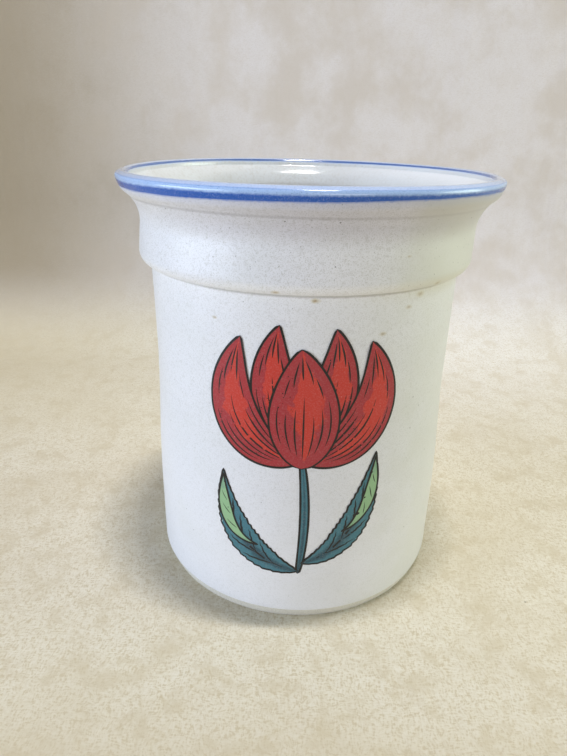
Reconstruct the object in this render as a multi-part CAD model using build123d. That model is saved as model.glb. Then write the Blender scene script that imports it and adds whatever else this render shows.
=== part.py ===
from build123d import *
import os
from math import ceil, pi, sin

# Utensil crock in glazed stoneware. Sizes are in millimetres, of the fired and
# glazed crock. It stands on the XY plane, its axis is Z, its print faces -Y.

# Heights, up from the table or down from the top of the lip
total_height = 189.6
foot_bevel_height = 5.1
floor_thickness = 8.0
collar_height = 37.9
flare_height = 20.6
band_outside_drop = 4.9
band_inside_drop = 2.8

# Radii and the steps between them, from the bottom up
body_radius = 71.5
foot_bevel_width = 1.9
foot_ring_width = 7.5
foot_recess_depth = 1.8
wall_draw = 2.3
ledge_step = 4.9
collar_draw = 0.6
flare_reach = 9.0
draw_start_share = 0.21
draw_end_share = 0.73

# Lip: how far in from the rim, and how far below the top
root_inset = 2.5
root_drop = 7.9
face_inset = 0.6
face_drop = 4.6
arris_drop = 1.5
lip_top_inset = 3.0
lip_inner_inset = 4.5
lip_inner_drop = 1.2
throat_inset = 5.2
throat_drop = 3.5

# Wall, measured where it is thinnest, and inside
wall_thickness = 5.2
inside_floor_round = 9.0
inside_blend_height = 14.0

# Coats: glaze, and the printed transfer that lies on it. Under the glaze the clay
# follows each curve in chords, none of which turns by more than chord_turn degrees.
glaze_thickness = 0.4
chord_turn = 24
print_thickness = 0.12

# Printed spray of one bloom and two leaves. Across is measured along the wall
# from the middle of the front, up is measured from the table.
spray_width = 66.0
spray_height = 113.0
spray_middle = 2.0
spray_foot = 27.0
key_line = 0.9
stroke_line = 0.8
blade_steps = 5

# The blades of the spray from back to front: what each is, its base, bend and
# tip, the half width, how late it is widest, and how blunt it ends.
blade_shares = [
    ("stem", (0.00, 0.00), (0.06, 0.26), (0.00, 0.51), 0.026, 1.00, 0.3),
    ("leaf", (0.00, 0.01), (-0.48, 0.07), (-0.50, 0.42), 0.106, 0.85, 1.0),
    ("turned_edge", (-0.26, 0.12), (-0.52, 0.14), (-0.50, 0.40), 0.045, 1.10, 1.0),
    ("leaf", (0.02, 0.05), (0.41, 0.12), (0.48, 0.51), 0.098, 0.85, 1.0),
    ("turned_edge", (0.27, 0.19), (0.48, 0.25), (0.48, 0.49), 0.042, 1.10, 1.0),
    ("petal", (-0.05, 0.53), (-0.26, 0.78), (-0.15, 1.00), 0.136, 0.90, 0.8),
    ("petal", (0.05, 0.53), (0.26, 0.78), (0.17, 0.99), 0.136, 0.90, 0.8),
    ("petal", (-0.03, 0.49), (-0.61, 0.58), (-0.38, 0.95), 0.152, 0.90, 0.8),
    ("petal", (0.03, 0.49), (0.61, 0.60), (0.39, 0.94), 0.152, 0.90, 0.8),
    ("petal", (0.00, 0.47), (0.02, 0.71), (-0.02, 0.92), 0.212, 0.80, 0.7),
]

# Black strokes inside a blade: start, bend and end, each as a share of the way
# along the midrib and of the half width across it.
stroke_shares = {
    "petal": [
        ((0.10, 0.0), (0.35, 0.0), (0.60, 0.0)),
        ((0.12, -0.40), (0.30, -0.55), (0.50, -0.50)),
        ((0.12, 0.40), (0.30, 0.55), (0.50, 0.50)),
    ],
    "leaf": [
        ((0.12, 0.0), (0.50, 0.0), (0.90, 0.0)),
        ((0.30, 0.1), (0.38, 0.40), (0.50, 0.70)),
        ((0.30, -0.1), (0.38, -0.40), (0.50, -0.70)),
    ],
    "stem": [],
    "turned_edge": [],
}

# The layer of print that each kind of blade belongs to
print_layer = {"petal": "petals", "leaf": "leaves", "stem": "leaves", "turned_edge": "turned_edges"}

# Overrun of what cuts past a surface
overrun = 10.0

# Radii and heights that follow
rest_radius = body_radius - foot_bevel_width
waist_radius = body_radius - wall_draw
collar_radius = waist_radius + ledge_step
neck_radius = collar_radius - collar_draw
rim_radius = neck_radius + flare_reach
ledge_height = total_height - collar_height
neck_height = total_height - flare_height
collar_foot_height = ledge_height + ledge_step
wall_height = ledge_height - foot_bevel_height
inside_radius = waist_radius - wall_thickness
collar_inside_radius = neck_radius - wall_thickness
clay_floor_height = floor_thickness - glaze_thickness


def wall_lines(lift=0.0):
    """The outside of the wall from the foot to the ledge: upright, then drawn in, then upright."""
    low_radius = body_radius + lift
    high_radius = waist_radius + lift
    low = (low_radius, foot_bevel_height + draw_start_share * wall_height)
    high = (high_radius, foot_bevel_height + draw_end_share * wall_height)
    return [
        Line((low_radius, foot_bevel_height), low),
        Line(low, high),
        Line(high, (high_radius, ledge_height)),
    ]


def outside_lines():
    """The outside of the section, from the resting edge up to the top of the lip."""
    ledge_outer = (collar_radius, collar_foot_height)
    neck = (neck_radius, neck_height)
    root = (rim_radius - root_inset, total_height - root_drop)
    face = (rim_radius - face_inset, total_height - face_drop)
    arris = (rim_radius, total_height - arris_drop)
    top = (rim_radius - lip_top_inset, total_height)
    return [
        Line((rest_radius, 0), (body_radius, foot_bevel_height)),
        *wall_lines(),
        JernArc((waist_radius, ledge_height), (1, 0), ledge_step, 90),
        Line(ledge_outer, neck),
        TangentArc(neck, root, tangent=(0, 1)),
        Line(root, face),
        Line(face, arris),
        Line(arris, top),
    ]


def inside_lines():
    """The inside of the section, from the edge of the floor up to the top of the lip."""
    top = (rim_radius - lip_top_inset, total_height)
    inner = (rim_radius - lip_inner_inset, total_height - lip_inner_drop)
    throat = (rim_radius - throat_inset, total_height - throat_drop)
    collar_top = (collar_inside_radius, neck_height)
    blend_top = (collar_inside_radius, collar_foot_height)
    blend_foot = (inside_radius, collar_foot_height - inside_blend_height)
    floor_edge = (inside_radius - inside_floor_round, floor_thickness)
    floor_round = JernArc(floor_edge, (1, 0), inside_floor_round, 90)
    return [
        floor_round,
        Line(floor_round @ 1, blend_foot),
        Line(blend_foot, blend_top),
        Line(blend_top, collar_top),
        TangentArc(collar_top, throat, tangent=(0, 1)),
        Line(throat, inner),
        Line(inner, top),
    ]


def floor_lines(inside):
    """The underside and the floor, both carried past the axis on the left."""
    past = (-overrun, foot_recess_depth)
    ring_inner = rest_radius - foot_ring_width
    recess = (ring_inner - foot_recess_depth, foot_recess_depth)
    underside = Polyline((rest_radius, 0), (ring_inner, 0), recess, past)
    return [underside, Polyline(past, (-overrun, floor_thickness), inside[0] @ 0)]


def finished_section():
    """Half of the whole crock, glaze included, carried past the axis on the left."""
    inside = inside_lines()
    return make_face(Curve() + outside_lines() + inside + floor_lines(inside))


def chords(line):
    """Straight chords along a line or an arc, one for each small turn of it."""
    turn = line.tangent_at(0).get_angle(line.tangent_at(1))
    count = max(1, ceil(turn / chord_turn))
    corners = [line.position_at(step / count) for step in range(count + 1)]
    return Polyline(*corners) if count > 1 else line


def chorded_section():
    """The same half section with straight chords in place of its arcs."""
    inside = inside_lines()
    curved = outside_lines() + inside
    return make_face(Curve() + [chords(line) for line in curved] + floor_lines(inside))


def block(left, right, bottom, top):
    """A rectangle of the section, by its sides."""
    corners = [(left, bottom), (right, bottom), (right, top), (left, top)]
    return make_face(Polyline(*corners, close=True))


def turned(section):
    """A half section turned once round the axis of the crock."""
    return revolve(Plane.XZ * section, Axis.Z)


def right_half():
    """The side of the section that is turned."""
    return block(0, rim_radius + overrun, -overrun, total_height + overrun)


def clay_section(finished):
    """The clay: bare at the foot, and one glaze thinner than the crock everywhere else."""
    bare_top = min(foot_bevel_height, clay_floor_height)
    bare_foot = finished & block(-overrun, rim_radius + overrun, -overrun, bare_top)
    glazed = offset(chorded_section(), -glaze_thickness, kind=Kind.INTERSECTION)
    return (glazed + bare_foot) & right_half()


def coat_sections(finished, clay):
    """The outer glaze, the liner and the rim band: what the clay leaves of the section."""
    above = total_height + overrun
    beyond = rim_radius + overrun
    lip_middle = rim_radius - lip_top_inset
    outside_zone = block(lip_middle, beyond, total_height - band_outside_drop, above)
    inside_zone = block(collar_inside_radius, lip_middle, total_height - band_inside_drop, above)
    band_zone = outside_zone + inside_zone
    coats = (finished - clay) & right_half()
    liner, outer = (coats - band_zone).faces().sort_by(lambda face: face.bounding_box().max.X)
    return outer, liner, coats & band_zone


def wrapped(point):
    """A point of the flat print as the front view sees it on the round wall."""
    across = waist_radius * sin((spray_middle + point.X) / waist_radius)
    return Vector(across, spray_foot + point.Y, 0)


def midrib(base, bend, tip):
    """The bent middle line of a blade, from shares of the spray's width and height."""
    ends = [(across * spray_width, up * spray_height) for across, up in (base, bend, tip)]
    return Bezier(*ends)


def swell(share, late, blunt):
    """How much of its half width a blade has at a share of the way along its midrib."""
    return sin(pi * share ** late) ** blunt


def blade(rib, half_width, late, blunt, grow):
    """A petal, leaf or stroke round its midrib, larger all round by grow."""
    sides = []
    for side in (1, -1):
        points = [rib.position_at(0) - rib.tangent_at(0) * grow]
        for step in range(1, blade_steps):
            share = step / blade_steps
            across = rib.tangent_at(share).rotate(Axis.Z, 90) * side
            points.append(rib.position_at(share) + across * (half_width * swell(share, late, blunt) + grow))
        points.append(rib.position_at(1) + rib.tangent_at(1) * grow)
        sides.append(Spline(*[wrapped(point) for point in points]))
    return Sketch() + make_face(sides)


def stroke(rib, half_width, late, blunt, places):
    """A tapered black stroke that follows a blade from one place in it to another."""
    points = []
    for share, width_share in places:
        across = rib.tangent_at(share).rotate(Axis.Z, 90)
        points.append(rib.position_at(share) + across * width_share * half_width * swell(share, late, blunt))
    return blade(Bezier(*points), stroke_line / 2, 1, 1, 0)


def print_layers():
    """Each layer of the print as a flat sketch. What lies in front hides what is behind."""
    layers = {"petals": [], "leaves": [], "turned_edges": [], "key_lines": []}
    covered = Sketch()
    for kind, base, bend, tip, width_share, late, blunt in reversed(blade_shares):
        rib = midrib(base, bend, tip)
        half_width = width_share * spray_width
        shape = (rib, half_width, late, blunt)
        edge = blade(*shape, key_line / 2)
        lines = edge - blade(*shape, -key_line / 2)
        lines += [stroke(*shape, places) for places in stroke_shares[kind]]
        layers["key_lines"].append(lines - covered)
        layers[print_layer[kind]].append(edge - lines - covered)
        covered += edge
    return {name: Sketch() + pieces for name, pieces in layers.items()}


def print_skin():
    """The space on the glaze that the print fills: the front of the wall, one print thick."""
    foot = Line((body_radius, foot_bevel_height), (body_radius + print_thickness, foot_bevel_height))
    head = Line((waist_radius, ledge_height), (waist_radius + print_thickness, ledge_height))
    return turned(make_face([*wall_lines(), *wall_lines(print_thickness), foot, head]))


def crock():
    """Every layer of the crock by the name of its node."""
    finished = finished_section()
    clay = clay_section(finished)
    outer, liner, band = coat_sections(finished, clay)
    nodes = {
        "stoneware_body": turned(clay),
        "outer_glaze": turned(outer),
        "liner_glaze": turned(liner),
        "rim_glaze_band": turned(band),
    }
    skin = print_skin()
    for name, sketch in print_layers().items():
        nodes["print_" + name] = skin & extrude(Plane.XZ * sketch, amount=body_radius + overrun)
    return nodes


os.makedirs("parts", exist_ok=True)
for name, solid in crock().items():
    export_step(solid, f"parts/{name}.step")
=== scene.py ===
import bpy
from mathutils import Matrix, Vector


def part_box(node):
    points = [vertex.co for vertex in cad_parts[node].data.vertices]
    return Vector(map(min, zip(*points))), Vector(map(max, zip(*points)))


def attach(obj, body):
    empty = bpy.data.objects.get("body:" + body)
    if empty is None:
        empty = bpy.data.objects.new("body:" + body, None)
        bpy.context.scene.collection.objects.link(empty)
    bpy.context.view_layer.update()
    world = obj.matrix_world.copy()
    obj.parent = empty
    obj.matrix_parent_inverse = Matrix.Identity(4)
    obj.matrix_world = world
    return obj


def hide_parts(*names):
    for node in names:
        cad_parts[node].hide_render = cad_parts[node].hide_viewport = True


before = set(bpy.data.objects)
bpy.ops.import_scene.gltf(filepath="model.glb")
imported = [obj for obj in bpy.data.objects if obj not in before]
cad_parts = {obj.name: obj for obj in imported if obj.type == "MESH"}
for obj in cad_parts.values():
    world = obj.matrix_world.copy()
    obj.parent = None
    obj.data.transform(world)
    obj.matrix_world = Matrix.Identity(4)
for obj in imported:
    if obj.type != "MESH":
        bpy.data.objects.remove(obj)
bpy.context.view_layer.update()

import cmath
import math
import random
from types import SimpleNamespace

import bmesh
import bpy
import numpy as np
from bpy.props import FloatProperty, FloatVectorProperty, IntProperty, PointerProperty
from mathutils import Matrix, Vector, noise

bl_info = {
    "name": "Utensil Crock",
    "version": (1, 0, 0),
    "blender": (4, 5, 0),
    "location": "View3D > Sidebar > Crock",
    "description": "Makes a glazed stoneware crock with a blue rim and a printed bloom",
    "category": "Add Mesh",
}

MM = 0.001
rim_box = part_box("rim_glaze_band")

# Seven points of the lip from its root to the throat, in millimetres: how far in
# from the rim, and down from the top
LIP = [(2.5, 7.9), (0.6, 4.6), (0.0, 2.4), (1.2, 0.85), (3.0, 0.0), (4.5, 1.2), (5.2, 3.5)]

# The wall draws in between these shares of its height. The rest is in millimetres
DRAW_START, DRAW_END = 0.21, 0.73
GROOVE_HEIGHT, GROOVE_DEPTH, GROOVE_WIDTH = 179.4, 0.24, 0.7
BLEND_HEIGHT, FLOOR_ROUND = 14.0, 9.0
BAND_LOW, BAND_HIGH, WARP_HEIGHT = 184.95, 188.0, 190.0
RIM_DRIFT, DRIFT_FROM, DRIFT_OVER = 1.0, 152.0, 28.0

# The rolled edge of the glaze at the foot: how far on from its start, in millimetres,
# and how deep, as a share of its thickness. The even coat goes on from its end
ROLLED_EDGE, EDGE_END = [(0.0, 1.0), (0.04, 0.45), (0.16, 0.12)], 0.4

# The photograph's camera: its place in metres, how far it looks down, turns to the
# right and rolls, in degrees, and its lens and sensor in millimetres
CAMERA_PLACE, CAMERA_ANGLES = (0.0, -0.2649, 0.2066), (23.98, -1.76, 1.305)
CAMERA_LENS, CAMERA_SENSOR = 27.05, 36.0

# Edges that turn by more degrees than this are sharp
SHARP_ANGLE = 48.0


def length(name, default, description):
    """A length that a user can change, in metres."""
    return FloatProperty(
        name=name, description=description, default=default, min=0, unit="LENGTH", subtype="DISTANCE"
    )


def share(name, default, description):
    """A share between nothing and all."""
    return FloatProperty(name=name, description=description, default=default, min=0, max=1, subtype="FACTOR")


def colour(name, default, description):
    """A colour that a user can change, given as it looks on a screen."""
    return FloatVectorProperty(
        name=name, description=description, default=default, min=0, max=1, size=3, subtype="COLOR_GAMMA"
    )


def power(name, default, description):
    """The power of a light, in watts."""
    return FloatProperty(name=name, description=description, default=default, min=0, unit="POWER")


class CrockShape(bpy.types.PropertyGroup):
    """Sizes of the thrown and glazed crock."""

    total_height: length("Total height", rim_box[1].z, "From the table to the top of the lip")
    rim_radius: length("Rim radius", rim_box[1].x, "Out to the edge of the lip")
    neck_radius: length("Neck radius", 0.0735, "Where the flare starts")
    neck_height: length("Neck height", 0.1690, "Where the flare starts")
    collar_radius: length("Collar radius", 0.0741, "The collar above the ledge")
    ledge_height: length("Ledge height", 0.1517, "The crease under the ledge")
    ledge_round: length("Ledge round", 0.0049, "Radius of the ledge's rounded edge")
    waist_radius: length("Waist radius", 0.0692, "The upper wall, under the ledge")
    body_radius: length("Body radius", 0.0715, "The lower wall")
    bevel_height: length("Foot bevel height", 0.0051, "Height of the bare bevel at the foot")
    foot_radius: length("Foot radius", 0.0696, "The edge that rests on the table")
    ring_width: length("Foot ring width", 0.0075, "The ring that the crock rests on")
    recess_depth: length("Foot recess depth", 0.0018, "How far the bottom is cut back inside the ring")
    floor_thickness: length("Floor thickness", 0.0080, "The bottom, glaze included")
    wall_thickness: length("Wall thickness", 0.0052, "The wall, glaze included")
    glaze_thickness: length("Glaze thickness", 0.0004, "Thickness of each coat of glaze")
    throwing_relief: length("Throwing relief", 0.00011, "Depth of the rings left by the potter's fingers")
    columns: IntProperty(name="Columns", description="Faces once round the crock", default=240, min=48)


class CrockFinish(bpy.types.PropertyGroup):
    """Colours of the clay and the glazes."""

    clay: colour("Clay", (0.87, 0.865, 0.83), "Bare fired clay of the foot")
    white: colour("White glaze", (0.92, 0.925, 0.945), "Speckled white glaze outside")
    # The grain colour is laid on more heavily up the wall and on the collar, partly as painted shade.
    shade: colour("Glaze grain", (0.76, 0.76, 0.755), "Where the clay shows through the white glaze")
    # The warmer right side is partly a warmer glaze and partly painted warm light.
    buff_and_warm_light: colour("Buff glaze", (0.845, 0.85, 0.81), "The warmer right side of the white glaze")
    liner: colour("Liner glaze", (0.92, 0.935, 0.945), "Glossy pale glaze inside")
    liner_shade: colour("Liner shade", (0.82, 0.81, 0.785), "Where the liner glaze lies thin")
    speck: colour("Iron specks", (0.34, 0.33, 0.33), "Small dark specks in the glaze")
    rust: colour("Rust stains", (0.74, 0.70, 0.55), "Pale edges of the rust spots")
    rust_core: colour("Rust cores", (0.60, 0.50, 0.34), "Middles of the rust spots")
    cobalt: colour("Cobalt", (0.10, 0.34, 0.69), "Blue glaze where it lies thick")
    # The middle and pale cobalt carry painted highlight and reflection besides the glaze's own blue.
    mid_cobalt: colour("Middle cobalt", (0.67, 0.785, 0.95), "Blue glaze under the edge of the lip")
    pale_cobalt: colour("Pale cobalt", (0.74, 0.83, 0.99), "Blue glaze where it runs thin over the lip")


class CrockPrint(bpy.types.PropertyGroup):
    """Sizes and colours of the printed spray."""

    width: length("Spray width", 0.066, "Across the spray, measured along the wall")
    height: length("Spray height", 0.113, "From the foot of the stem to the tallest petal")
    middle: length("Spray middle", 0.002, "How far to the right of the front the stem stands")
    foot: length("Spray foot", 0.027, "Height of the foot of the stem")
    key_line: length("Key line", 0.0009, "Width of the black outlines")
    stroke_line: length("Stroke line", 0.0008, "Width of the black hatching")
    layer: length("Layer thickness", 0.00001, "How far each printed colour lies above the last")
    crimson: colour("Crimson", (0.66, 0.17, 0.21), "Shaded parts of the petals")
    scarlet: colour("Scarlet", (0.79, 0.21, 0.17), "Lit parts of the petals")
    teal: colour("Teal", (0.22, 0.46, 0.52), "Leaves")
    deep_teal: colour("Deep teal", (0.13, 0.30, 0.36), "Shaded parts of the leaves")
    light_green: colour("Light green", (0.58, 0.74, 0.56), "Turned edges of the leaves")
    black: colour("Black", (0.08, 0.075, 0.08), "Outlines and hatching")


class CrockStudio(bpy.types.PropertyGroup):
    """Lights and paper of the studio."""

    paper: colour("Paper", (0.874, 0.846, 0.770), "Paper that the crock stands on")
    # Darkens the mottling and, as painted shade, the front and the far left of the paper.
    fleck_and_shade: colour("Paper fleck", (0.92, 0.895, 0.845), "How much the mottling darkens the paper")
    backdrop: colour("Backdrop", (0.845, 0.825, 0.825), "The paper where it rises behind the crock")
    # Painted light: the paper far behind on the right is lighter.
    painted_far_light: colour("Far paper", (0.92, 0.905, 0.885), "The lighter paper behind on the right")
    # Painted shade on the left of the backdrop.
    backdrop_shade: colour("Backdrop shade", (0.66, 0.62, 0.555), "The browner left of the backdrop")
    sky: share("Sky light", 0.05, "Strength of the even light from all round")
    overhead: power("Overhead", 18.6, "The narrow lamp above")
    window: power("Window", 16.6, "The cool light from the left")
    fill: power("Fill", 5.4, "The even light from the front")
    warm: power("Warm side", 9.6, "The warm light from the right")


def linear(shown):
    """A colour as it looks on a screen, turned into the light it reflects."""
    parts = [c / 12.92 if c <= 0.04045 else ((c + 0.055) / 1.055) ** 2.4 for c in shown]
    return (*parts, 1.0)


def both_forms(operation):
    """An operator in its plain form and in its reflected form."""

    def plain(self, other):
        return self.math(operation, self, other)

    def reflected(self, other):
        return self.math(operation, other, self)

    return plain, reflected


class Value:
    """A shader socket that works in sums. Each sum adds its Math node."""

    __add__, __radd__ = both_forms("ADD")
    __sub__, __rsub__ = both_forms("SUBTRACT")
    __mul__, __rmul__ = both_forms("MULTIPLY")
    __truediv__, __rtruediv__ = both_forms("DIVIDE")
    __pow__, __rpow__ = both_forms("POWER")
    __lt__, __gt__ = both_forms("LESS_THAN")

    def __init__(self, finish, socket):
        self.finish = finish
        self.socket = socket

    def math(self, operation, *terms):
        made = self.finish.node("ShaderNodeMath", {"operation": operation}, dict(enumerate(terms)))
        return self.finish.out(made)

    def __abs__(self):
        return self.math("ABSOLUTE", self)

    def step(self, low, high):
        """Rises smoothly from 0 at low to 1 at high."""
        inputs = {"Value": self, "From Min": low, "From Max": high}
        ramp = self.finish.node("ShaderNodeMapRange", {"interpolation_type": "SMOOTHSTEP"}, inputs)
        return self.finish.out(ramp)

    def ridge(self, middle, width):
        """A soft line, 1 along its middle."""
        away = abs(self - middle) / width
        return 1 - away.step(0.0, 1.0)


def socket_of(sockets, key):
    """A socket by its identifier, its name or its place."""
    if isinstance(key, int):
        return sockets[key]
    for socket in sockets:
        if socket.identifier == key:
            return socket
    return sockets[key]


class Finish:
    """A material, the one way its nodes are added, and where its points are, in millimetres."""

    def __init__(self, name):
        self.material = bpy.data.materials.new(name)
        self.material.use_nodes = True
        self.tree = self.material.node_tree
        self.tree.nodes.clear()
        seat = self.out(self.node("ShaderNodeTexCoord"), "Object")
        self.where = self.vector("SCALE", seat, scale=1 / MM)

    def node(self, kind, settings=None, inputs=None):
        """Adds a node: its settings first, then the values or links of its sockets, None left out."""
        made = self.tree.nodes.new(kind)
        for name, value in (settings or {}).items():
            setattr(made, name, value)
        for key, term in (inputs or {}).items():
            socket = socket_of(made.inputs, key)
            if isinstance(term, Value):
                self.tree.links.new(term.socket, socket)
            elif term is not None:
                socket.default_value = term
        return made

    def out(self, made, key=0):
        return Value(self, socket_of(made.outputs, key))

    def vector(self, operation, first, second=None, scale=None):
        inputs = {0: first, 1: second, "Scale": scale}
        made = self.node("ShaderNodeVectorMath", {"operation": operation}, inputs)
        key = "Value" if operation in ("DISTANCE", "LENGTH", "DOT_PRODUCT") else "Vector"
        return self.out(made, key)

    def parts(self, vector):
        split = self.node("ShaderNodeSeparateXYZ", inputs={0: vector})
        return [self.out(split, place) for place in range(3)]

    def record(self, name):
        """What the mesh carries under a name: three numbers a point."""
        read = self.node("ShaderNodeAttribute", {"attribute_name": name})
        return self.parts(self.out(read, "Vector"))

    def cloud(self, size, detail=2.0, rough=0.5, where=None):
        """Noise from 0 to 1, with blobs about as large as size in millimetres."""
        inputs = {"Vector": where or self.where, "Scale": 1 / size, "Detail": detail, "Roughness": rough}
        return self.out(self.node("ShaderNodeTexNoise", inputs=inputs))

    def clouds(self, size):
        """Noise in three directions at once, each from about -0.5 to 0.5."""
        inputs = {"Vector": self.where, "Scale": 1 / size, "Detail": 1.0}
        made = self.node("ShaderNodeTexNoise", inputs=inputs)
        return self.vector("SUBTRACT", self.out(made, "Color"), (0.5, 0.5, 0.5))

    def specks(self, spacing, radius, kept):
        """Round specks, 1 inside: one a cell of the given spacing, of which a share is kept."""
        inputs = {"Vector": self.where, "Scale": 1 / spacing}
        cells = self.node("ShaderNodeTexVoronoi", inputs=inputs)
        chance = self.parts(self.out(cells, "Color"))
        reach = (chance[1] * 0.6 + 0.4) * (radius / spacing)
        inside = (reach - self.out(cells, "Distance")).step(0, 0.35 * radius / spacing)
        return inside * (chance[0] < kept)

    def mix(self, factor, first, second, way="MIX"):
        settings = {"data_type": "RGBA", "blend_type": way}
        inputs = {"Factor_Float": factor, "A_Color": first, "B_Color": second}
        return self.out(self.node("ShaderNodeMix", settings, inputs), "Result_Color")

    def bump(self, height, strength, depth, under=None):
        """Relief of the given depth in millimetres."""
        inputs = {"Height": height, "Strength": strength, "Distance": depth * MM, "Normal": under}
        return self.out(self.node("ShaderNodeBump", inputs=inputs))

    def coats(self, tone, *layers):
        """Lays colours over a tone, each by its factor."""
        for factor, shown in layers:
            tone = self.mix(factor, tone, linear(shown))
        return tone

    def finish(self, shader):
        self.node("ShaderNodeOutputMaterial", inputs={0: self.out(shader)})
        return self.material

    def fired(self, tone, roughness, relief, ior, coat=(None, None)):
        """The material of a fired surface, with the weight and roughness of its clear coat."""
        inputs = {"Base Color": tone, "Roughness": roughness, "Normal": relief, "IOR": ior}
        inputs["Coat Weight"], inputs["Coat Roughness"] = coat
        return self.finish(self.node("ShaderNodeBsdfPrincipled", inputs=inputs))


def glaze(name):
    """A new glaze, with the grain of the stoneware under it from fine to broad."""
    finish = Finish(name)
    return finish, finish.cloud(0.42, 2.0, 0.6), finish.cloud(1.5, 3.0, 0.6), finish.cloud(24.0, 2.0, 0.5)


def white_glaze():
    """Speckled white stoneware glaze: satin, grainy, with iron specks and a few rust spots."""
    colours = bpy.context.scene.crock_finish
    finish, fine, grain, broad = glaze("speckled_white_glaze")
    x, _, z = finish.parts(finish.where)
    uneven = grain - 0.5
    crease = bpy.context.scene.crock_shape.ledge_height / MM
    collar = z.step(crease, crease + 3)
    # Grain, laid on more heavily up the wall and on the collar: partly glaze grain, partly painted shade.
    grain_and_shade = z.step(15.0, 125.0) * 0.26 + collar * 0.18 + 0.26
    # Warmer towards the right, more on the collar: partly glaze tone, partly painted warm light.
    buff_and_warm_light = (x + (broad - 0.5) * 50).step(22.0, 62.0)
    # A dark line just under the ledge: painted shade in the crease.
    line = (z + uneven * 0.4).ridge(crease - 0.4, 1.0)
    stain = z.ridge(crease, 7.0) * (x + uneven * 20).step(18.0, 55.0)
    # A dark line along the groove under the flare, fading towards the right: painted shade.
    painted_groove_shade = z.ridge(GROOVE_HEIGHT, 0.9) * (1 - x.step(-10, 70) * 0.6)
    tone = finish.coats(
        linear(colours.white),
        (fine.step(0.50, 0.66) * grain_and_shade, colours.shade),
        (grain.step(0.50, 0.72) * grain_and_shade * 0.6, colours.shade),
        (broad.step(0.35, 0.75) * 0.20, (0.83, 0.84, 0.82)),
        (buff_and_warm_light * (collar * 0.4 + 0.5), colours.buff_and_warm_light),
        (finish.specks(1.7, 0.26, 0.45) * (collar * 0.34 + 0.24), colours.speck),
        (finish.specks(3.6, 0.42, 0.26) * (collar * 0.34 + 0.44), colours.speck),
        (line * 0.48, (0.44, 0.41, 0.36)),
        (stain * 0.34, (0.72, 0.69, 0.55)),
        (painted_groove_shade * 0.30, (0.50, 0.48, 0.47)),
    )
    # Darker on the neck under the flare, most on the right: painted shadow of the flare.
    painted_flare_shadow = z.step(166.5, 176.5) * (x.step(-75.0, 5.0) * 0.55 + 0.35)
    tone = finish.mix(painted_flare_shadow, tone, linear((0.85, 0.84, 0.86)), "MULTIPLY")

    for angle, height, size, strength in RUST_SPOTS:
        spot = finish.vector("SUBTRACT", finish.where, wall_point(angle, height))
        away = finish.vector("LENGTH", finish.vector("MULTIPLY", spot, (1.0, 1.0, 1.9)))
        ragged = away + uneven * size * 1.5 + (fine - 0.5) * size * 0.5
        tone = finish.coats(
            tone,
            ((1 - ragged.step(size * 0.6, size * 2.1)) * strength * 0.6, colours.rust),
            ((1 - ragged.step(0.0, size * 1.1)) * strength * 0.85, colours.rust_core),
        )

    beyond = finish.record("section_place")[1]
    bleed = 1 - (0 - beyond + uneven * 1.2).step(-0.1, 0.9)
    lilac = 1 - (0 - beyond).step(0.5, 4.0)
    tone = finish.coats(tone, (bleed * 0.8, colours.cobalt), (lilac * 0.22, (0.68, 0.74, 0.90)))
    relief = finish.bump(finish.cloud(1.7), 0.55, 0.05)
    relief = finish.bump(fine, 0.45, 0.015, relief)
    return finish.fired(tone, 0.33 + fine * 0.18, relief, 1.5, (0.12, 0.12))


def liner_glaze():
    """Glossy pale liner with faint rings and small specks."""
    colours = bpy.context.scene.crock_finish
    finish, fine, grain, broad = glaze("cream_liner_glaze")
    x, _, z = finish.parts(finish.where)
    drift = broad - 0.5
    rings = (z + drift * 2).ridge(176.5, 1.3) + z.ridge(169.0, 2.4) * 0.6
    inner = finish.record("section_place")[2]
    bleed = 1 - (inner + (grain - 0.5) * 0.9).step(0.0, 0.8)
    tone = finish.coats(
        linear(colours.liner),
        (grain.step(0.45, 0.70) * 0.35, colours.liner_shade),
        (broad.step(0.4, 0.7) * 0.25, colours.liner_shade),
        # Paler and cooler towards the right: painted light on the inside wall.
        ((x + drift * 40).step(0.0, 70.0) * 0.7, (0.965, 0.98, 1.0)),
        (rings * 0.22, (0.62, 0.60, 0.58)),
        (finish.specks(3.0, 0.32, 0.25) * 0.45, colours.speck),
        (bleed * 0.6, colours.pale_cobalt),
    )
    relief = finish.bump(finish.cloud(3.2), 0.6, 0.09)
    return finish.fired(tone, 0.08 + fine * 0.10, relief, 1.52, (0.4, 0.04))


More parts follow.
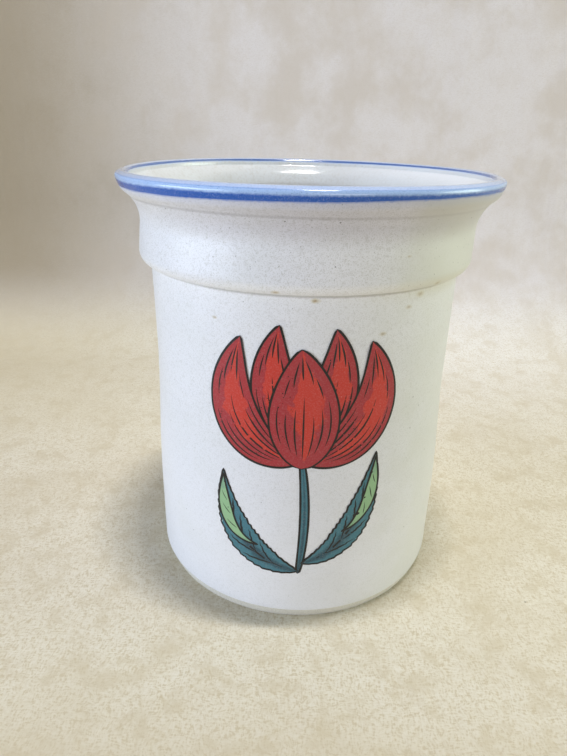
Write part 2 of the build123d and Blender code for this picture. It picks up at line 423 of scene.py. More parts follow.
def cobalt_glaze():
    """Brushed cobalt: deep along its lower edge, partly pooled glaze and partly painted shade; pale over the
    lip, partly thin glaze and partly painted highlight and reflection; deep again inside.
    """
    colours = bpy.context.scene.crock_finish
    finish, fine, grain, broad = glaze("cobalt_glaze")
    x = finish.parts(finish.where)[0]
    past = finish.record("section_place")[0]
    wander = (grain - 0.5) * 0.9 + (broad - 0.5) * 0.7
    # Deep along the lower edge: partly pooled glaze, partly painted shade where the face turns down.
    deep = 1 - (past + wander - x * 0.005).step(-5.1, -4.0)
    # Pale over the lip: partly thin glaze, partly painted reflection of the sky and lamps.
    lip = (past + wander * 0.5).step(-3.1, -2.2)
    # The middle cobalt under the lip's edge is lightened as a painted highlight.
    tone = finish.coats(
        linear(colours.mid_cobalt),
        (lip, colours.pale_cobalt),
        ((past + wander * 0.3).ridge(-2.7, 0.45) * 0.45, (0.38, 0.55, 0.84)),
        # Near-white over the crown: partly thin glaze, partly painted reflection.
        ((past + wander * 0.8).step(-1.3, 0.2) * 0.8, (0.80, 0.83, 0.89)),
        (deep, colours.cobalt),
        ((past + wander * 0.4).step(0.9, 1.5), (0.36, 0.48, 0.72)),
        (fine.step(0.52, 0.72) * 0.25, (0.74, 0.82, 0.95)),
        (fine.step(0.48, 0.30) * 0.30, (0.10, 0.22, 0.52)),
        # Near-white specks on the paler blue: painted glints.
        (finish.specks(1.3, 0.22, 0.22) * (1 - deep) * 0.8, (0.93, 0.95, 0.98)),
    )
    relief = finish.bump(finish.cloud(1.1, 2.0, 0.6), 0.8, 0.07)
    return finish.fired(tone, 0.12 + fine * 0.10, relief, 1.54, (lip * 0.5 + 0.15, 0.05))


def bare_clay():
    """Bare fired stoneware of the foot, gritty and trimmed in rings."""
    colours = bpy.context.scene.crock_finish
    finish = Finish("bare_stoneware")
    x, y, z = finish.parts(finish.where)
    grit = finish.cloud(0.7, 4.0, 0.65)
    patch = finish.cloud(14.0, 3.0, 0.5)
    radius = (x * x + y * y) ** 0.5
    outward = finish.out(finish.node("ShaderNodeCombineXYZ", inputs={0: radius}))
    rings = finish.cloud(1.6, 2.0, 0.6, outward)
    worn = 1 - z.step(0.0, 0.9)
    tone = finish.coats(
        linear(colours.clay),
        (grit.step(0.35, 0.7) * 0.5, (0.72, 0.70, 0.65)),
        (patch.step(0.4, 0.75) * 0.35, (0.85, 0.84, 0.80)),
        (finish.specks(2.2, 0.35, 0.35) * 0.5, colours.speck),
        (worn * patch.step(0.35, 0.65) * 0.4, (0.52, 0.49, 0.44)),
    )
    relief = finish.bump(grit, 0.8, 0.12)
    relief = finish.bump(rings, 0.5, 0.10, relief)
    return finish.fired(tone, 0.72 + grit * 0.2, relief, 1.45)


def print_relief(finish):
    """The slight waves of the glaze under the print."""
    return finish.bump(finish.cloud(1.7), 0.45, 0.04)


def enamel(name, base, second, share_of_second):
    """Printed enamel: two flat colours that meet along a soft edge, with a few pinholes."""
    finish = Finish(name)
    fine = finish.cloud(0.6, 3.0, 0.6)
    along, across, _ = finish.record("blade_place")
    tone = finish.coats(
        linear(base),
        (share_of_second(finish, along, across), second),
        (fine.step(0.45, 0.75) * 0.10, (0.85, 0.80, 0.78)),
        (finish.specks(3.2, 0.24, 0.28) * 0.55, (0.88, 0.80, 0.78)),
    )
    return finish.fired(tone, 0.26 + fine * 0.14, print_relief(finish), 1.5, (0.2, 0.10))


def petal_light(finish, along, across):
    """Where a petal is lit: a broad flame up its middle, with a wandering edge."""
    wander = (finish.cloud(5.0) - 0.5) * 0.9
    side = abs(across + 0.12) + wander * 0.8
    height = abs(along - 0.56) * 1.1
    return 1 - (side + height).step(0.50, 0.60)


def leaf_shade(finish, along, across):
    """Where a leaf is shaded: beside its midrib and towards its base."""
    wander = (finish.cloud(3.0) - 0.5) * 0.5
    return 1 - (abs(across) + wander + along * 0.5).step(0.25, 0.75)


def turned_shade(finish, along, across):
    """A little deeper green towards both ends of a turned edge."""
    wander = (finish.cloud(2.0) - 0.5) * 0.6
    return (abs(along - 0.5) * 2 + wander).step(0.45, 1.0) * 0.5


def black_enamel():
    """The black of the key lines, a little worn."""
    finish = Finish("black_enamel")
    fine = finish.cloud(0.5, 3.0, 0.6)
    black = linear(bpy.context.scene.crock_print.black)
    tone = finish.coats(black, (fine.step(0.5, 0.75) * 0.35, (0.24, 0.21, 0.20)))
    return finish.fired(tone, 0.32 + fine * 0.14, print_relief(finish), 1.5)


def paper_finish():
    """Pale fibrous paper, slightly creased. Seen from behind it is clear, so every side can be looked at."""
    studio = bpy.context.scene.crock_studio
    finish = Finish("studio_paper")
    x, y, z = finish.parts(finish.where)
    pulled = finish.vector("ADD", finish.where, finish.vector("SCALE", finish.clouds(9.0), scale=4.0))
    across = finish.cloud(0.7, 2.0, 0.6, finish.vector("MULTIPLY", pulled, (0.3, 1.0, 1.0)))
    along = finish.cloud(0.7, 2.0, 0.6, finish.vector("MULTIPLY", pulled, (1.0, 0.3, 1.0)))
    weave = across + along
    blots = finish.cloud(16.0, 5.0, 0.7, pulled)
    broad = finish.cloud(70.0, 4.0, 0.6)
    rising = z.step(2.0, 70.0)
    # Darker and browner on the left of the backdrop and the far left of the floor: painted shade.
    shadier = (x + (broad - 0.5) * 110).step(-60.0, -330.0)
    # Lighter far behind on the right: painted light.
    lighter = y.step(10.0, 300.0) * x.step(-250.0, 120.0)
    tone = finish.coats(
        linear(studio.paper),
        (lighter * 0.8, studio.painted_far_light),
        (rising * 0.9, studio.backdrop),
        (rising * shadier, studio.backdrop_shade),
    )
    pale = finish.mix(0.5, tone, linear((0.96, 0.95, 0.92)))
    dim = finish.mix(1.0, tone, linear(studio.fleck_and_shade), "MULTIPLY")
    lying = 1 - rising * 0.7
    tone = finish.mix(weave.step(1.0, 1.22) * lying * 0.5, tone, pale)
    for darker in (
        weave.step(1.0, 0.78) * lying,
        blots.step(0.46, 0.66) * lying * 0.6,
        broad.step(0.42, 0.66) * (rising * 0.35 + 0.3),
        # Darker towards the front: painted shade.
        y.step(-95.0, -175.0) * 0.75,
        # Painted shade on the floor far behind on the left.
        y.step(20.0, 220.0) * shadier * 0.8,
    ):
        tone = finish.mix(darker, tone, dim)
    tone = finish.mix(finish.specks(26.0, 0.7, 0.5) * 0.5, tone, linear((0.45, 0.41, 0.34)))
    folds = finish.cloud(30.0, 3.0, 0.6, finish.vector("MULTIPLY", finish.where, (1.0, 1.0, 0.22)))
    relief = finish.bump(folds, 0.5, 3.6)
    relief = finish.bump(weave, 0.3, 0.12, relief)
    inputs = {"Base Color": tone, "Roughness": 0.86 + across * 0.1, "Normal": relief}
    inputs["Specular IOR Level"] = 0.25
    sheet = finish.node("ShaderNodeBsdfPrincipled", inputs=inputs)
    clear = finish.node("ShaderNodeBsdfTransparent")
    back = finish.out(finish.node("ShaderNodeNewGeometry"), "Backfacing")
    seen = {0: back, 1: finish.out(sheet), 2: finish.out(clear)}
    return finish.finish(finish.node("ShaderNodeMixShader", inputs=seen))


# Rust spots: degrees round from the front, height, radius and strength. The last
# three are out of the photograph's sight and are made up
RUST_SPOTS = [
    (-7.5, 153.3, 1.1, 0.75),
    (3.9, 149.8, 1.2, 0.95),
    (-28.2, 140.0, 0.8, 0.60),
    (44.0, 153.5, 1.3, 0.55),
    (40.4, 149.2, 1.6, 0.60),
    (35.6, 144.9, 1.2, 0.50),
    (26.4, 135.8, 1.1, 0.70),
    (30.0, 165.5, 0.7, 0.40),
    (100.0, 120.0, 1.3, 0.55),
    (165.0, 64.0, 1.5, 0.55),
    (-120.0, 134.0, 1.1, 0.50),
]


def wall_point(angle, height):
    """A point on the outside of the crock, in millimetres, from an angle in degrees and a height."""
    outline = Outline.of_scene()
    radius = outline.radius_outside(height)
    turn = math.radians(angle)
    return (radius * math.sin(turn), -radius * math.cos(turn), height)


def in_mm(group):
    """The lengths of a group of settings, in millimetres."""
    kinds = group.bl_rna.properties
    lengths = [key for key in kinds.keys() if kinds[key].subtype == "DISTANCE"]
    return SimpleNamespace(**{key: getattr(group, key) / MM for key in lengths})


def arc(start, end, half_turn, steps=24):
    """Points of an arc, as radius + height * 1j, that turns by twice half_turn."""
    if abs(half_turn) < 1e-6:
        return [start + (end - start) * k / steps for k in range(1, steps + 1)]
    chord = end - start
    points = []
    for k in range(1, steps + 1):
        share_done = k / steps
        reach = math.sin(share_done * half_turn) / math.sin(half_turn)
        points.append(start + chord * reach * cmath.exp(1j * (share_done - 1) * half_turn))
    return points


def arc_leaving(start, heading, end):
    """An arc that leaves start along a heading."""
    return arc(start, end, cmath.phase((end - start) / heading))


def arc_arriving(start, end, heading):
    """An arc that arrives at end along a heading."""
    return arc(start, end, cmath.phase(heading / (end - start)))


def arc_through(start, middle, end):
    """An arc through three points."""
    return arc(start, end, cmath.phase((end - middle) / (middle - start)))


def s_bend(start, heading, end):
    """Two even arcs from start to end that leave and arrive along the same heading."""
    middle = (start + end) / 2
    return arc_leaving(start, heading, middle) + arc_arriving(middle, end, heading)


def section_points(shape):
    """The outside of the finished section, then its inside, as two lists in millimetres."""
    size = in_mm(shape)
    top, rim = size.total_height, size.rim_radius
    body, waist, wall = size.body_radius, size.waist_radius, size.wall_thickness
    collar, ledge = size.collar_radius, size.ledge_height
    bevel, neck = size.bevel_height, complex(size.neck_radius, size.neck_height)
    draw_low = bevel + DRAW_START * (ledge - bevel)
    draw_high = bevel + DRAW_END * (ledge - bevel)
    ledge_inner = complex(collar - size.ledge_round, ledge)
    ledge_outer = complex(collar, ledge + size.ledge_round)
    lip = [complex(rim - inset, top - drop) for inset, drop in LIP]
    root, face, edge, shoulder, crown, inner_lip, throat = lip

    outside = [complex(body, bevel), complex(body, draw_low)]
    outside += s_bend(outside[-1], 1j, complex(waist, draw_high))
    outside += [complex(waist, ledge), ledge_inner]
    outside += arc_leaving(ledge_inner, 1, ledge_outer)
    outside += [neck]
    outside += arc_leaving(neck, 1j, root)
    outside += arc_through(root, face, edge)
    outside += arc_leaving(outside[-1], 1j, shoulder)
    outside += [crown]

    collar_top = complex(neck.real - wall, neck.imag)
    blend_top = complex(collar_top.real, ledge_outer.imag)
    blend_foot = complex(waist - wall, ledge_outer.imag - BLEND_HEIGHT)
    round_top = complex(waist - wall, size.floor_thickness + FLOOR_ROUND)
    floor_edge = complex(round_top.real - FLOOR_ROUND, size.floor_thickness)
    inside = [crown]
    inside += arc_through(crown, inner_lip, throat)
    inside += arc_arriving(throat, collar_top, -1j)
    inside += [blend_top]
    inside += s_bend(blend_top, -1j, blend_foot)
    inside += [round_top]
    inside += arc_leaving(round_top, -1j, floor_edge)
    inside += [complex(0.0, size.floor_thickness)]
    return outside, inside


def between(at, places, values):
    """Values at some places, read between those of the places given."""
    return np.interp(at, places, values.real) + 1j * np.interp(at, places, values.imag)


class Outline:
    """The finished section from the glaze edge at the foot, over the lip, to the middle of the floor."""

    # The spacing of its points and how far its corners are rounded, in millimetres. A mesh row is
    # as long as row_length, in millimetres, or turns by row_turn, in degrees
    spacing, softness = 0.2, 0.42
    row_length, row_turn = 2.2, 8.0
    kept = None

    def __init__(self, shape):
        outside, inside = section_points(shape)
        path = np.array(outside + inside[1:])
        run = np.concatenate([[0.0], np.cumsum(np.abs(np.diff(path)))])
        unique = np.concatenate([[True], np.diff(run) > 1e-9])
        path, run = path[unique], run[unique]
        self.along = np.arange(0.0, run[-1], self.spacing)
        self.end = float(self.along[-1])
        self.points = self.soften(between(self.along, run, path))
        heading = np.gradient(self.points)
        heading /= np.abs(heading)
        self.normal = heading * -1j
        turning = np.abs(np.angle(heading[1:] / heading[:-1]))
        crowding = self.spacing / self.row_length + turning / math.radians(self.row_turn)
        self.crowd = np.concatenate([[0.0], np.cumsum(crowding)])
        self.top = int(np.argmax(self.points.imag))
        self.crest = float(self.along[self.top])
        self.ripple = shape.throwing_relief / MM

    @classmethod
    def of_scene(cls):
        if cls.kept is None:
            cls.kept = cls(bpy.context.scene.crock_shape)
        return cls.kept

    def soften(self, points):
        """Rounds every corner a little, as glaze does."""
        reach = int(4 * self.softness / self.spacing)
        weights = np.exp(-0.5 * (np.arange(-reach, reach + 1) * self.spacing / self.softness) ** 2)
        weights /= weights.sum()
        before = points[0] + (points[1] - points[0]) * np.arange(-reach, 0)
        after = points[-1] + (points[-1] - points[-2]) * np.arange(1, reach + 1)
        return np.convolve(np.concatenate([before, points, after]), weights, "valid")

    def along_outside(self, height):
        return float(np.interp(height, self.points.imag[: self.top], self.along[: self.top]))

    def along_inside(self, height):
        heights = self.points.imag[self.top :][::-1]
        return float(np.interp(height, heights, self.along[self.top :][::-1]))

    def radius_outside(self, height):
        return float(np.interp(height, self.points.imag[: self.top], self.points.real[: self.top]))

    def stations(self, start, end, rows):
        """Places from start to end, closer together where the section turns."""
        low, high = np.interp([start, end], self.along, self.crowd)
        return np.interp(np.linspace(low, high, rows), self.crowd, self.along)

    def rows(self, start, end):
        low, high = np.interp([start, end], self.along, self.crowd)
        return max(6, int(high - low))

    def section(self, along):
        """Radius, height and the outward direction at places along the outline."""
        facing = between(along, self.along, self.normal)
        return between(along, self.along, self.points), facing / np.abs(facing)


def unevenness(outline, along, height, turn):
    """How far the hand-thrown surface stands off the true section, in millimetres."""
    east, south = math.cos(turn), math.sin(turn)
    inside = along > outline.crest
    offset = 9.0 if inside else 0.0
    rings = noise.noise(Vector((0.6 * east, 0.6 * south + offset, height / (3.2 if inside else 2.6))))
    lumps = noise.noise(Vector((1.1 * east + 5, 1.1 * south + offset, height / 34.0)))
    away = outline.ripple * (rings * (1.5 if inside else 1.0) + lumps * 1.2)
    if not inside:
        fade = 0.65 - 0.35 * math.sin(turn)
        away -= GROOVE_DEPTH * fade * math.exp(-(((height - GROOVE_HEIGHT) / GROOVE_WIDTH) ** 2))
    return away


def smooth(share_done):
    """Rises smoothly from 0 to 1 as its share does."""
    kept = min(1.0, max(0.0, share_done))
    return kept * kept * (3 - 2 * kept)


def settled(point, turn):
    """The slight warp of the fired rim: a little out of round and out of level."""
    share_up = (point.imag / WARP_HEIGHT) ** 3
    level = (0.22 * math.sin(2 * turn + 0.7) + 0.12 * math.sin(3 * turn + 2.1)) * share_up
    spread = 0.16 * math.sin(2 * turn + 1.9) * share_up
    return point + complex(spread * min(1.0, point.real / 40), level)


def turned_point(outline, along, turn, sink):
    """A point of the crock's surface, sunk below it by some millimetres."""
    place, facing = outline.section(along)
    lifted = place + facing * (unevenness(outline, along, place.imag, turn) - sink)
    lifted = settled(lifted, turn)
    radius = max(lifted.real, 0.0)
    drift = RIM_DRIFT * smooth((lifted.imag - DRIFT_FROM) / DRIFT_OVER)
    return ((radius * math.sin(turn) + drift) * MM, -radius * math.cos(turn) * MM, lifted.imag * MM)


def band_edges(outline, turn):
    """Where the brushed blue band starts on the outside and ends on the inside, once round by hand."""
    east = math.sin(turn)
    sway = noise.noise(Vector((1.6 * math.cos(turn), 1.6 * east, 3.3))) * 0.45
    sway += noise.noise(Vector((5.0 * math.cos(turn), 5.0 * east, 8.1))) * 0.18
    low = outline.along_outside(BAND_LOW + 1.05 * east - 0.2 * east * east + sway)
    high = outline.along_inside(BAND_HIGH + 0.3 * noise.noise(Vector((2 * math.cos(turn), 2 * east, 5.0))))
    return low, high


def placed(name, data):
    """A new object in the scene."""
    made = bpy.data.objects.new(name, data)
    bpy.context.scene.collection.objects.link(made)
    return made


def mesh_object(name, points, faces, records=None):
    """A smooth mesh object with what its points carry."""
    mesh = bpy.data.meshes.new(name)
    mesh.from_pydata(points, [], faces)
    for key, values in (records or {}).items():
        layer = mesh.attributes.new(key, "FLOAT_VECTOR", "POINT")
        layer.data.foreach_set("vector", np.asarray(values, dtype=np.float32).ravel())
    shaped = bmesh.new()
    shaped.from_mesh(mesh)
    bmesh.ops.remove_doubles(shaped, verts=shaped.verts, dist=1e-7)
    shaped.to_mesh(mesh)
    shaped.free()
    mesh.shade_smooth()
    mesh.set_sharp_from_angle(angle=math.radians(SHARP_ANGLE))
    return placed(name, mesh)


def grid_faces(rows, columns, closed=False):
    """Faces of a grid of points, row by row. A closed grid wraps once round, outside faces out."""
    faces = []
    for row in range(rows - 1):
        low, high = row * columns, (row + 1) * columns
        for column in range(columns if closed else columns - 1):
            beside = (column + 1) % columns
            faces.append((low + column, low + beside, high + beside, high + column))
    return faces


def coat(name, span, rolled_start=False):
    """One coat of glaze. span gives where it starts and ends from the edges of the blue band."""
    outline = Outline.of_scene()
    shape = bpy.context.scene.crock_shape
    columns = shape.columns
    thick = shape.glaze_thickness / MM
    rows = outline.rows(*span(*band_edges(outline, 0.0)))
    edge = ROLLED_EDGE if rolled_start else ROLLED_EDGE[:1]
    grid = []
    for column in range(columns):
        turn = 2 * math.pi * column / columns
        low, high = band_edges(outline, turn)
        start, end = span(low, high)
        body = outline.stations(start + (EDGE_END if rolled_start else 0.0), end, rows)
        stops = [(start + step, thick * sink) for step, sink in edge]
        stops += [(stop, 0.0) for stop in body] + [(end, thick)]
        grid.append(
            [
                (turned_point(outline, stop, turn, sink), (stop - outline.crest, stop - low, stop - high))
                for stop, sink in stops
            ]
        )
    rows = list(zip(*grid))
    points = [point for row in rows for point, _ in row]
    records = [record for row in rows for _, record in row]
    return mesh_object(name, points, grid_faces(len(rows), columns, True), {"section_place": records})


def clay_form(name):
    """The bare stoneware: one glaze thinner than the crock, and bare from the bevel down."""
    outline = Outline.of_scene()
    shape = bpy.context.scene.crock_shape
    columns = shape.columns // 2
    size = in_mm(shape)
    thick, bevel, depth = size.glaze_thickness, size.bevel_height, size.recess_depth
    foot, body = size.foot_radius, size.body_radius
    inner = foot - size.ring_width
    stops = outline.stations(0.0, outline.end, outline.rows(0.0, outline.end) // 2)
    below = [
        (0.0, depth),
        (20.0, depth + 0.15),
        (40.0, depth),
        (inner - depth - 0.6, depth),
        (inner - depth, depth - 0.25),
        (inner - 0.5, 0.35),
        (inner + 0.3, 0.02),
        (foot - 3.0, 0.0),
        (foot - 0.5, 0.0),
        (foot - 0.12, 0.10),
        (foot + 0.05, 0.35),
        (foot + (body - foot) * 0.5, bevel * 0.5),
        (body - 0.25, bevel - 0.35),
        (body - 0.14, bevel - 0.02),
        (body - thick, bevel + 0.15),
    ]
    turns = [2 * math.pi * column / columns for column in range(columns)]
    points = []
    for radius, height in below:
        points += [
            (radius * math.sin(turn) * MM, -radius * math.cos(turn) * MM, height * MM) for turn in turns
        ]
    for stop in stops[1:]:
        points += [turned_point(outline, stop, turn, thick) for turn in turns]
    return mesh_object(name, points, grid_faces(len(below) + len(stops) - 1, columns, True))


# The blades of the spray from back to front: the layer of print, the base, bend
# and tip as shares of its width and height, the half width as a share of its
# width, how late it is widest, how blunt it ends, and the depth of its teeth
BLADES = [
    ("leaves", (0.00, 0.00), (0.06, 0.26), (0.00, 0.51), 0.026, 1.00, 0.3, 0.0),
    ("leaves", (0.00, 0.01), (-0.48, 0.07), (-0.50, 0.42), 0.106, 0.85, 1.0, 0.07),
    ("turned_edges", (-0.26, 0.12), (-0.52, 0.14), (-0.50, 0.40), 0.045, 1.10, 1.0, 0.0),
    ("leaves", (0.02, 0.05), (0.41, 0.12), (0.48, 0.51), 0.098, 0.85, 1.0, 0.07),
    ("turned_edges", (0.27, 0.19), (0.48, 0.25), (0.48, 0.49), 0.042, 1.10, 1.0, 0.0),
    ("petals", (-0.05, 0.53), (-0.26, 0.78), (-0.15, 1.00), 0.136, 0.90, 0.8, 0.0),
    ("petals", (0.05, 0.53), (0.26, 0.78), (0.17, 0.99), 0.136, 0.90, 0.8, 0.0),
    ("petals", (-0.03, 0.49), (-0.61, 0.58), (-0.38, 0.95), 0.152, 0.90, 0.8, 0.0),
    ("petals", (0.03, 0.49), (0.61, 0.60), (0.39, 0.94), 0.152, 0.90, 0.8, 0.0),
    ("petals", (0.00, 0.47), (0.02, 0.71), (-0.02, 0.92), 0.212, 0.80, 0.7, 0.0),
]

# Veins of one side of a leaf: where each starts and ends along the midrib, how far
# across it reaches, and how wide the stroke is
LEAF_VEINS = [
    (0.18, 0.37, 0.80, 1.1), (0.32, 0.51, 0.78, 1.1), (0.46, 0.65, 0.76, 1.1), (0.60, 0.78, 0.72, 1.0),
]

# Hatching inside a blade: start, bend and end, each as a share of the way along
# the midrib and of the half width across it, and how wide the stroke is
HATCHING = {
    "petals": [
        ((0.08, 0.00), (0.35, 0.03), (0.62, 0.00), 1.0),
        ((0.10, -0.22), (0.28, -0.30), (0.46, -0.26), 0.9),
        ((0.10, 0.24), (0.30, 0.30), (0.52, 0.24), 0.9),
        ((0.13, -0.46), (0.30, -0.56), (0.52, -0.50), 1.0),
        ((0.13, 0.46), (0.30, 0.56), (0.48, 0.52), 1.0),
        ((0.20, -0.74), (0.36, -0.78), (0.60, -0.72), 0.9),
        ((0.20, 0.74), (0.34, 0.79), (0.55, 0.76), 0.9),
        ((0.60, -0.58), (0.68, -0.58), (0.77, -0.50), 0.7),
        ((0.72, -0.34), (0.82, -0.38), (0.92, -0.22), 0.9),
        ((0.70, 0.36), (0.81, 0.40), (0.91, 0.26), 0.9),
        ((0.76, 0.02), (0.86, 0.04), (0.95, 0.00), 0.8),
        ((0.62, 0.62), (0.69, 0.62), (0.78, 0.56), 0.7),
    ],
    "leaves": [((0.06, 0.00), (0.50, 0.04), (0.93, 0.00), 1.5)]
    + [
        ((start, 0.05 * side), (start + 0.08, 0.35 * side), (end, reach * side), width)
        for side in (1, -1)
        for start, end, reach, width in LEAF_VEINS
    ],
    "turned_edges": [
        ((0.30, -0.55), (0.36, 0.00), (0.44, 0.40), 0.55),
        ((0.50, -0.55), (0.56, 0.00), (0.64, 0.40), 0.55),
        ((0.68, -0.50), (0.73, 0.00), (0.79, 0.30), 0.45),
    ],
}
STEM = 0
BLADE_STEPS, BLADE_SIDES, OUTLINE_STEPS, STROKE_STEPS = 48, 15, 60, 14
PRINT_LIFT, TOOTH_LENGTH = 0.05, 3.4
STIPPLE_DOTS, DOT_CORNERS, SEED = 26, 7, 11


def bent(t, start, bend, end):
    """The point at t of the curve from start to end that bends towards a third point."""
    return (1 - t) ** 2 * start + 2 * t * (1 - t) * bend + t * t * end


class Blade:
    """A petal or leaf of the flat print round its bent midrib, in millimetres."""

    def __init__(self, number, sizes, layer, base, bend, tip, half_width, late, blunt, teeth):
        self.number, self.layer = number, layer
        self.late, self.blunt, self.teeth = late, blunt, teeth
        self.half_width = half_width * sizes.width
        ends = [complex(across * sizes.width, up * sizes.height) for across, up in (base, bend, tip)]
        rib = bent(np.linspace(0, 1, 200), *ends)
        heading = np.gradient(rib)
        run = np.concatenate([[0.0], np.cumsum(np.abs(np.diff(rib)))])
        self.run, self.length, self.rib = run / run[-1], run[-1], rib
        self.heading = heading / np.abs(heading)

    def half(self, along):
        """Half the width at a share of the way along, with small teeth on a toothed blade."""
        swell = max(0.0, math.sin(math.pi * min(max(along, 0.0), 1.0) ** self.late)) ** self.blunt
        tooth = (along * self.length / TOOTH_LENGTH) % 1.0
        return self.half_width * swell * (1 + self.teeth * (tooth - 0.5) * 2)

    def point(self, along, across):
        """The flat place at a share of the way along and of the half width across."""
        return self.at(along, across * self.half(along))

    def at(self, along, aside):
        place = between(along, self.run, self.rib)
        heading = between(along, self.run, self.heading)
        beyond = min(along, 0.0) + max(along - 1.0, 0.0)
        return place + heading * (beyond * self.length) + heading * 1j * aside


def draped(flat, lift):
    """A place of the flat print laid on the round wall, lifted off it."""
    outline = Outline.of_scene()
    sizes = bpy.context.scene.crock_print
    waist = bpy.context.scene.crock_shape.waist_radius / MM
    turn = (sizes.middle / MM + flat.real) / waist
    along = outline.along_outside(sizes.foot / MM + flat.imag)
    return turned_point(outline, along, turn, -lift)


class PrintLayer:
    """Points, faces and records of one colour of the print, gathered blade by blade."""

    def __init__(self):
        self.points, self.faces, self.records = [], [], []

    def add_grid(self, rows, lift):
        """Adds rows of flat places as one draped sheet."""
        start = len(self.points)
        self.points += [draped(flat, lift) for row in rows for flat in row]
        for a, b, c, d in grid_faces(len(rows), len(rows[0])):
            self.faces.append((start + a, start + d, start + c, start + b))


def lift_of(blade, above):
    """How far a blade's colour lies off the glaze: the front ones lie over the back ones."""
    layer = bpy.context.scene.crock_print.layer / MM
    return PRINT_LIFT + layer * (3 * blade.number + above)


def fill_blade(layer, blade):
    """The flat colour of a blade. Each point records how far along and across it is."""
    rows = []
    for step in range(BLADE_STEPS + 1):
        along = step / BLADE_STEPS
        sides = np.linspace(-1, 1, BLADE_SIDES)
        rows.append([blade.point(along, side) for side in sides])
        layer.records += [(along, side, 0) for side in sides]
    layer.add_grid(rows, lift_of(blade, 0))


def outline_blade(layer, blade):
    """The black line round a blade, a little wider in places."""
    width = bpy.context.scene.crock_print.key_line / MM
    for side in (-1, 1):
        rows = []
        for step in range(OUTLINE_STEPS + 1):
            along = step / OUTLINE_STEPS
            uneven = 1 + 0.22 * noise.noise(Vector((along * 7, side * 3.0, blade.number * 1.7)))
            grow = width / 2 * uneven
            half = blade.half(along)
            reach = grow / blade.length
            stretched = along * (1 + 2 * reach * 0.8) - reach * 0.8
            inner = blade.at(along, side * max(0.0, half - grow))
            outer = blade.at(stretched, side * (half + grow * (1 if 0 < step < OUTLINE_STEPS else 0.0)))
            row = [inner, (inner + outer) / 2, outer]
            rows.append(row[::-1] if side < 0 else row)
        layer.add_grid(rows, lift_of(blade, 2))


def stroke(layer, blade, places, width, lean):
    """A tapered black stroke inside a blade."""
    ends = [complex(*place) for place in places]
    stations = [bent(step / STROKE_STEPS, *ends) for step in range(STROKE_STEPS + 1)]
    centre = [blade.point(where.real, where.imag) for where in stations]
    rows = []
    for step, place in enumerate(centre):
        before, after = centre[max(0, step - 1)], centre[min(STROKE_STEPS, step + 1)]
        heading = (after - before) / abs(after - before)
        t = step / STROKE_STEPS
        taper = math.sin(math.pi * min(1.0, t ** lean)) ** 0.7
        half = 0.5 * width * max(taper, 0.04)
        rows.append([place + heading * 1j * half * side for side in (1, 0, -1)])
    layer.add_grid(rows, lift_of(blade, 1))


def stipple(layer, blade, rng):
    """Small black dots scattered on the shaded side of a petal."""
    for _ in range(STIPPLE_DOTS):
        along = 0.18 + 0.62 * rng.random()
        across = 0.30 + 0.55 * rng.random()
        middle = blade.point(along, across)
        size = 0.13 + 0.17 * rng.random() ** 2
        start = len(layer.points)
        layer.points.append(draped(middle, lift_of(blade, 1)))
        for corner in range(DOT_CORNERS):
            spoke = cmath.exp(2j * math.pi * corner / DOT_CORNERS) * size * (0.8 + 0.4 * rng.random())
            layer.points.append(draped(middle + spoke, lift_of(blade, 1)))
        layer.faces += [(start, start + 1 + (k + 1) % DOT_CORNERS, start + 1 + k) for k in range(DOT_CORNERS)]


def settle_in(piece, node, slot, material):
    """Makes a piece stand for its node, ride the body and carry its finish."""
    piece.data.materials.append(material)
    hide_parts(node)
    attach(piece, "root")


class CROCK_OT_clay(bpy.types.Operator):
    """Make the bare stoneware of the crock"""

    bl_idname = "crock.clay"
    bl_label = "Clay"

    def execute(self, context):
        settle_in(clay_form("clay"), "stoneware_body", "bare_stoneware", bare_clay())
        return {"FINISHED"}


class CROCK_OT_outer_glaze(bpy.types.Operator):
    """Make the speckled white glaze outside"""

    bl_idname = "crock.outer_glaze"
    bl_label = "Outer glaze"

    def execute(self, context):
        made = coat("outer_coat", lambda low, high: (0.0, low), rolled_start=True)
        settle_in(made, "outer_glaze", "speckled_white_glaze", white_glaze())
        return {"FINISHED"}


class CROCK_OT_liner_glaze(bpy.types.Operator):
    """Make the glossy pale glaze inside"""

    bl_idname = "crock.liner_glaze"
    bl_label = "Liner glaze"

    def execute(self, context):
        end = Outline.of_scene().end
        made = coat("liner_coat", lambda low, high: (high, end))
        settle_in(made, "liner_glaze", "cream_liner_glaze", liner_glaze())
        return {"FINISHED"}


class CROCK_OT_rim_band(bpy.types.Operator):
    """Make the brushed blue band over the lip"""

    bl_idname = "crock.rim_band"
    bl_label = "Rim band"

    def execute(self, context):
        made = coat("rim_band", lambda low, high: (low, high))
        settle_in(made, "rim_glaze_band", "cobalt_glaze", cobalt_glaze())
        return {"FINISHED"}


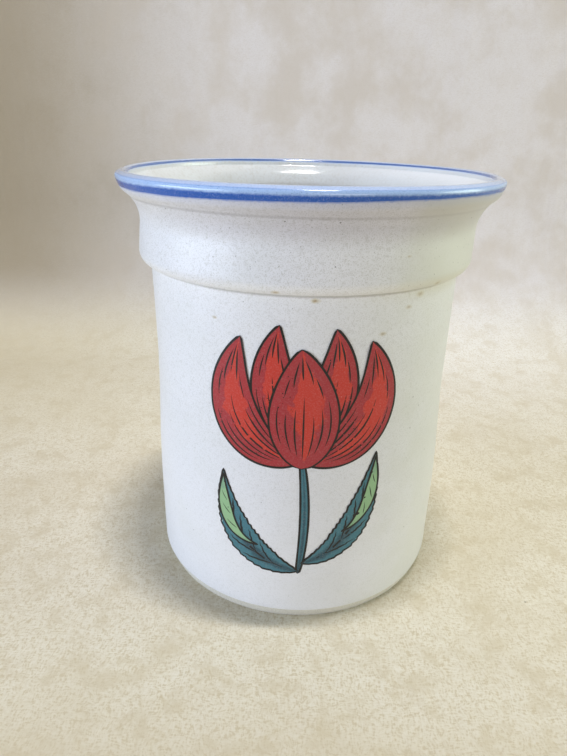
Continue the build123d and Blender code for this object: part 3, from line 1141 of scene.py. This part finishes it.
class CROCK_OT_print(bpy.types.Operator):
    """Make the printed petals, leaves, turned edges and key lines"""

    bl_idname = "crock.print"
    bl_label = "Print"

    def execute(self, context):
        colours = context.scene.crock_print
        rng = random.Random(SEED)
        layers = {name: PrintLayer() for name in ("petals", "leaves", "turned_edges", "key_lines")}
        sizes = in_mm(colours)
        for number, row in enumerate(BLADES):
            blade = Blade(number, sizes, *row)
            fill_blade(layers[blade.layer], blade)
            outline_blade(layers["key_lines"], blade)
            if blade.number == STEM:
                continue
            for *places, width in HATCHING[blade.layer]:
                line = sizes.stroke_line * width * rng.uniform(0.85, 1.15)
                stroke(layers["key_lines"], blade, places, line, rng.uniform(0.75, 1.3))
            if blade.layer == "petals":
                stipple(layers["key_lines"], blade, rng)
        finishes = {"key_lines": ("black_enamel", black_enamel())}
        for name, slot, base, second, shares in (
            ("petals", "red_enamel", colours.crimson, colours.scarlet, petal_light),
            ("leaves", "teal_enamel", colours.teal, colours.deep_teal, leaf_shade),
            ("turned_edges", "light_green_enamel", colours.light_green, colours.teal, turned_shade),
        ):
            finishes[name] = (slot, enamel(slot, base, second, shares))
        for name, layer in layers.items():
            carried = {"blade_place": layer.records} if layer.records else {}
            made = mesh_object("printed_" + name, layer.points, layer.faces, carried)
            settle_in(made, "print_" + name, *finishes[name])
        return {"FINISHED"}


def paper_sweep():
    """Paper that lies on the table and rises behind the crock in one curve."""
    front, back, side, bend, high = -1.6, 0.34, 1.9, 0.13, 1.5
    profile = [(front, 0.0), (back - bend, 0.0)]
    for step in range(1, 13):
        turn = math.pi / 2 * step / 12
        profile.append((back - bend + bend * math.sin(turn), bend - bend * math.cos(turn)))
    profile.append((back, high))
    across = np.linspace(-side, side, 9)
    points = [(x, y, z) for y, z in profile for x in across]
    return mesh_object("studio_paper", points, grid_faces(len(profile), len(across)))


def area_light(name, place, aim, size, watts, tint):
    """A soft rectangular light that faces a point."""
    data = bpy.data.lights.new(name, "AREA")
    data.shape = "RECTANGLE"
    data.size, data.size_y = size
    data.energy = watts
    data.color = tint
    lamp = placed(name, data)
    lamp.location = place
    lamp.rotation_euler = (Vector(aim) - Vector(place)).to_track_quat("-Z", "Y").to_euler()


def photo_camera():
    """The camera at the photograph's angle, hand-held with a slight roll."""
    pitch, yaw, roll = [math.radians(angle) for angle in CAMERA_ANGLES]
    data = bpy.data.cameras.new("camera")
    data.lens, data.sensor_width, data.sensor_fit = CAMERA_LENS, CAMERA_SENSOR, "AUTO"
    data.clip_start, data.clip_end = 0.01, 20.0
    camera = placed("camera", data)
    turn = Matrix.Rotation(-yaw, 4, "Z") @ Matrix.Rotation(math.pi / 2 - pitch, 4, "X")
    camera.matrix_world = Matrix.Translation(CAMERA_PLACE) @ turn @ Matrix.Rotation(roll, 4, "Z")
    bpy.context.scene.camera = camera


class CROCK_OT_stage(bpy.types.Operator):
    """Make the paper, the lights and the camera"""

    bl_idname = "crock.stage"
    bl_label = "Stage"

    def execute(self, context):
        studio = context.scene.crock_studio
        paper = paper_sweep()
        paper.data.materials.append(paper_finish())
        middle, under = (0, 0, 0.1), (0.12, -0.130, 0)
        for light in (
            ("overhead", (0.12, -0.130, 1.9), under, (0.30, 0.03), studio.overhead, (1.0, 0.98, 0.97)),
            ("window", (-1.25, -0.55, 0.27), middle, (1.1, 0.6), studio.window, (0.71, 0.82, 1.0)),
            ("fill", (0.50, -1.50, 0.30), middle, (0.9, 0.5), studio.fill, (1.0, 0.97, 0.99)),
            ("warm_side", (1.25, 0.15, 0.4), middle, (0.9, 0.7), studio.warm, (0.88, 1.0, 0.87)),
        ):
            area_light(*light)
        world = bpy.data.worlds.new("studio")
        world.use_nodes = True
        background = world.node_tree.nodes["Background"]
        background.inputs["Color"].default_value = (0.90, 0.95, 1.0, 1.0)
        background.inputs["Strength"].default_value = studio.sky
        context.scene.world = world
        context.scene.view_settings.view_transform = "Standard"
        photo_camera()
        return {"FINISHED"}


OPERATORS = [
    CROCK_OT_clay,
    CROCK_OT_outer_glaze,
    CROCK_OT_liner_glaze,
    CROCK_OT_rim_band,
    CROCK_OT_print,
    CROCK_OT_stage,
]
SETTINGS = {
    "crock_shape": CrockShape,
    "crock_finish": CrockFinish,
    "crock_print": CrockPrint,
    "crock_studio": CrockStudio,
}


class CROCK_PT_panel(bpy.types.Panel):
    """Sizes, colours and buttons of the crock"""

    bl_idname = "CROCK_PT_panel"
    bl_label = "Utensil Crock"
    bl_space_type = "VIEW_3D"
    bl_region_type = "UI"
    bl_category = "Crock"

    def draw(self, context):
        for operator in OPERATORS:
            self.layout.operator(operator.bl_idname)
        for name, group in SETTINGS.items():
            box = self.layout.box()
            for key in group.__annotations__:
                box.prop(getattr(context.scene, name), key)


def register():
    for group in SETTINGS.values():
        bpy.utils.register_class(group)
    for name, group in SETTINGS.items():
        setattr(bpy.types.Scene, name, PointerProperty(type=group))
    for cls in (*OPERATORS, CROCK_PT_panel):
        bpy.utils.register_class(cls)


def unregister():
    for cls in (CROCK_PT_panel, *reversed(OPERATORS)):
        bpy.utils.unregister_class(cls)
    for name, group in SETTINGS.items():
        delattr(bpy.types.Scene, name)
        bpy.utils.unregister_class(group)


def main():
    register()
    bpy.ops.crock.clay()
    bpy.ops.crock.outer_glaze()
    bpy.ops.crock.liner_glaze()
    bpy.ops.crock.rim_band()
    bpy.ops.crock.print()
    bpy.ops.crock.stage()


if __name__ == "__main__":
    main()
